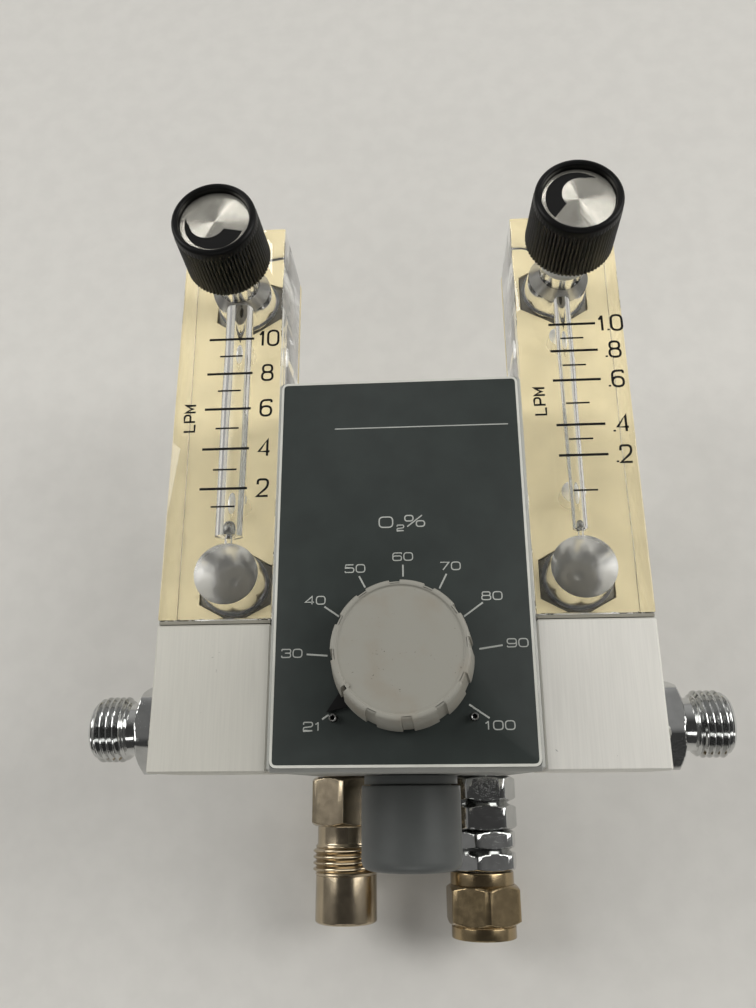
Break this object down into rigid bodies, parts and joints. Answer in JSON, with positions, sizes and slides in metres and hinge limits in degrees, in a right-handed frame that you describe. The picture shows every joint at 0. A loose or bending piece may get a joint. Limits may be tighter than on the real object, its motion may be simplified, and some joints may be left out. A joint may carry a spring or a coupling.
{
  "type": "air and oxygen gas mixer",
  "caption": "Gas mixer of an anesthesia set: a deep housing with a printed front panel and oxygen dial, clear block flowmeters with needle valves at its sides, threaded inlets and outlets.",
  "frame": {"origin": "centre of the housing's flat rear face, which the mixer lies on", "axes": "+X right seen from the front, +Y towards the tops of the flow tubes, +Z out of the front panel"},
  "size_m": [0.1402, 0.1766, 0.1167],
  "materials": {
    "grey_paint": "grey anodised, satin",
    "panel_print": "dark matt print",
    "grey_plastic": "warm grey, satin",
    "dark_plastic": "dark grey, satin",
    "black_plastic": "black, moulded",
    "aluminium": "brushed",
    "spun_aluminium": "spun",
    "chrome": "bright plated",
    "nickel": "nickel plated, worn",
    "brass": "turned",
    "steel": "ground",
    "sintered_bronze": "sintered, porous",
    "clear_acrylic": "clear, polished",
    "ivory_paint": "ivory, satin",
    "rubber": "matt",
    "white_nylon": "white, moulded"
  },
  "bodies": {
    "mixer": {"main_housing": "grey_paint", "front_panel": "panel_print", "dial_stop_pin_left": "steel", "dial_stop_pin_right": "steel", "mixer_bonnet": "brass", "mixer_sleeve": "brass", "balance_cap": "aluminium", "balance_diaphragm": "rubber", "alarm_collar": "dark_plastic", "alarm_cup": "dark_plastic", "alarm_spring": "steel", "air_inlet": "nickel", "air_filter": "sintered_bronze", "air_check_spring": "steel", "oxygen_inlet": "chrome", "oxygen_adapter": "chrome", "oxygen_filter": "sintered_bronze", "oxygen_check_spring": "steel", "left_manifold": "aluminium", "left_gasket": "rubber", "left_flowmeter_block": "clear_acrylic", "left_scale_plate": "ivory_paint", "left_outlet": "chrome", "left_valve_bushing": "white_nylon", "left_upper_port_fitting": "nickel", "left_lower_port_fitting": "nickel", "left_upper_port_seal": "rubber", "left_lower_port_seal": "rubber", "left_manifold_screw_1": "steel", "left_manifold_screw_2": "steel", "right_manifold": "aluminium", "right_gasket": "rubber", "right_flowmeter_block": "clear_acrylic", "right_scale_plate": "ivory_paint", "right_outlet": "chrome", "right_valve_bushing": "white_nylon", "right_upper_port_fitting": "nickel", "right_lower_port_fitting": "nickel", "right_upper_port_seal": "rubber", "right_lower_port_seal": "rubber", "right_manifold_screw_1": "steel", "right_manifold_screw_2": "steel"},
    "dial": {"oxygen_dial": "grey_plastic", "dial_pointer": "black_plastic", "mixer_spindle": "steel"},
    "mixer_spool_body": {"mixer_spool": "brass"},
    "left_stem": {"left_needle_stem": "steel"},
    "left_knob": {"left_flow_knob": "black_plastic", "left_knob_disc": "spun_aluminium"},
    "right_stem": {"right_needle_stem": "steel"},
    "right_knob": {"right_flow_knob": "black_plastic", "right_knob_disc": "spun_aluminium"},
    "left_float_body": {"left_float": "steel"},
    "right_float_body": {"right_float": "steel"},
    "nut": {"coupling_nut": "nickel"},
    "air_poppet": {"air_check_poppet": "brass"},
    "oxygen_poppet": {"oxygen_check_poppet": "brass"},
    "balance": {"balance_spool": "brass"},
    "alarm": {"alarm_poppet": "brass"}
  },
  "joints": [
    {"name": "dial_turn", "type": "hinge", "parent": "mixer", "child": "dial", "pos_m": [0, -0.02175, 0.0949], "axis": [0, 0, 1], "range_deg": [-248.7, 0]},
    {"name": "spool_slide", "type": "slide", "parent": "mixer", "child": "mixer_spool_body", "axis": [0, 0, 1], "range_m": [-0.0021, 0]},
    {"name": "left_stem_slide", "type": "slide", "parent": "mixer", "child": "left_stem", "axis": [0, 0, 1], "range_m": [-0.002, 0.0034]},
    {"name": "left_knob_turn", "type": "hinge", "parent": "left_stem", "child": "left_knob", "pos_m": [-0.04147, 0.07665, 0.0984], "axis": [0, 0, 1], "range_deg": [-810, 1350]},
    {"name": "right_stem_slide", "type": "slide", "parent": "mixer", "child": "right_stem", "axis": [0, 0, 1], "range_m": [-0.0041, 0.0013]},
    {"name": "right_knob_turn", "type": "hinge", "parent": "right_stem", "child": "right_knob", "pos_m": [0.04147, 0.07665, 0.1005], "axis": [0, 0, 1], "range_deg": [-1640, 520]},
    {"name": "left_float_rise", "type": "slide", "parent": "mixer", "child": "left_float_body", "axis": [0, 1, 0], "range_m": [0, 0.054]},
    {"name": "right_float_rise", "type": "slide", "parent": "mixer", "child": "right_float_body", "axis": [0, 1, 0], "range_m": [0, 0.054]},
    {"name": "nut_turn", "type": "hinge", "parent": "mixer", "child": "nut", "pos_m": [0.0188, -0.06995, 0.0144], "axis": [0, -1, 0], "continuous": true},
    {"name": "air_poppet_lift", "type": "slide", "parent": "mixer", "child": "air_poppet", "axis": [0, 1, 0], "range_m": [0, 0.003], "stiffness_N_per_m": 40, "deforming": ["air_check_spring"]},
    {"name": "oxygen_poppet_lift", "type": "slide", "parent": "mixer", "child": "oxygen_poppet", "axis": [0, 1, 0], "range_m": [0, 0.003], "stiffness_N_per_m": 40, "deforming": ["oxygen_check_spring"]},
    {"name": "balance_shift", "type": "slide", "parent": "mixer", "child": "balance", "axis": [0, 1, 0], "range_m": [-0.001, 0.001], "stiffness_N_per_m": 200, "deforming": ["balance_diaphragm"]},
    {"name": "alarm_poppet_slide", "type": "slide", "parent": "mixer", "child": "alarm", "axis": [0, -1, 0], "range_m": [0, 0.002], "stiffness_N_per_m": 60, "deforming": ["alarm_spring"]}
  ],
  "couplings": [
    {"joint": "dial_turn", "follows": "spool_slide", "rad_per_m": 2066},
    {"joint": "left_knob_turn", "follows": "left_stem_slide", "rad_per_m": 6926.3},
    {"joint": "right_knob_turn", "follows": "right_stem_slide", "rad_per_m": 6926.3}
  ]
}
